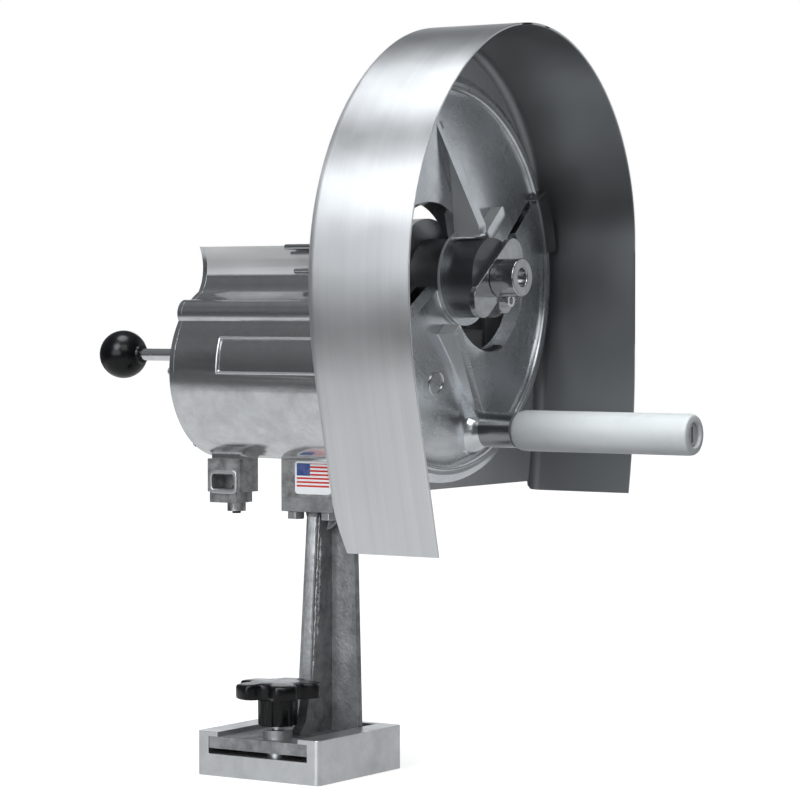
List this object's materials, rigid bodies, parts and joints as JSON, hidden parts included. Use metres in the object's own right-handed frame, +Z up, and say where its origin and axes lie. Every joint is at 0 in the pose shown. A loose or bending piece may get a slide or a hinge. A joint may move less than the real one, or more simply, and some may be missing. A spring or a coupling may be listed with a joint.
{
  "type": "hand cranked vegetable slicer",
  "caption": "Bench mounted hand cranked vegetable slicer: polished barrel housing with a pusher, a bladed disc with a crank, a bent sheet guard, and a stand that slides in a slotted base.",
  "frame": {"origin": "Centre of the base block's bottom face, which is also the centre of the bench screw pattern.", "axes": "+X along the spindle towards the crank, +Y away from the open end of the base's slot, +Z up."},
  "size_m": [0.4384, 0.2679, 0.4704],
  "materials": {
    "polished_casting": "polished cast aluminium with a soft mirror shine",
    "rough_casting": "dull sand cast aluminium",
    "brushed_sheet": "brushed sheet with fine lines along the bend",
    "steel": "turned and ground steel",
    "bronze": "plain bearing bronze",
    "black_plastic": "glossy black moulded plastic",
    "white_nylon": "turned white nylon",
    "label": "printed label with plain coloured bands"
  },
  "bodies": {
    "base": {"base_block": "polished_casting"},
    "stand": {"post": "rough_casting", "post_bolts": "steel", "housing": "polished_casting", "rear_cover": "polished_casting", "rear_cover_screws": "steel", "rod_bushing": "bronze", "label_plate": "label", "lug_screw": "steel", "front_bushing": "bronze", "rear_bushing": "bronze", "guard": "brushed_sheet", "guard_screws": "steel"},
    "clamp_slider": {"clamp_pad": "steel"},
    "clamp": {"clamp_knob": "black_plastic", "clamp_stud": "steel"},
    "pusher": {"pusher_rod": "steel", "pusher_plate": "rough_casting", "pusher_nut": "steel", "ball_knob": "black_plastic"},
    "rotor": {"spindle": "steel", "retaining_collar": "steel", "collar_screw": "steel", "thrust_washer": "bronze", "blade_hub": "rough_casting", "blades": "steel", "blade_screws": "steel", "clamp_plate": "rough_casting", "clamp_screw": "steel", "shaft_nut": "steel"},
    "disc": {"cutting_disc": "polished_casting", "crank_pin": "steel", "grip_screw": "steel"},
    "grip": {"handle_grip": "white_nylon"}
  },
  "joints": [
    {"name": "foot_slide", "type": "slide", "parent": "base", "child": "stand", "axis": [0, -1, 0], "range_m": [0, 0.09]},
    {"name": "clamp_lift", "type": "slide", "parent": "stand", "child": "clamp_slider", "axis": [0, 0, 1], "range_m": [0, 0.0025]},
    {"name": "clamp_turn", "type": "hinge", "parent": "clamp_slider", "child": "clamp", "pos_m": [0.005, -0.0315, 0.05], "axis": [0, 0, 1], "range_deg": [0, 720]},
    {"name": "pusher_slide", "type": "slide", "parent": "stand", "child": "pusher", "axis": [1, 0, 0], "range_m": [-0.09, 0.052]},
    {"name": "disc_spin", "type": "hinge", "parent": "stand", "child": "rotor", "pos_m": [0.1, 0.004, 0.315], "axis": [1, 0, 0], "continuous": true},
    {"name": "slice_set", "type": "slide", "parent": "rotor", "child": "disc", "axis": [1, 0, 0], "range_m": [-0.007, 0.0035]},
    {"name": "grip_spin", "type": "hinge", "parent": "disc", "child": "grip", "pos_m": [0.2, 0.03295, 0.22033], "axis": [1, 0, 0], "continuous": true}
  ],
  "couplings": [
    {"joint": "clamp_lift", "follows": "clamp_turn", "m_per_rad": 0.00019894}
  ]
}
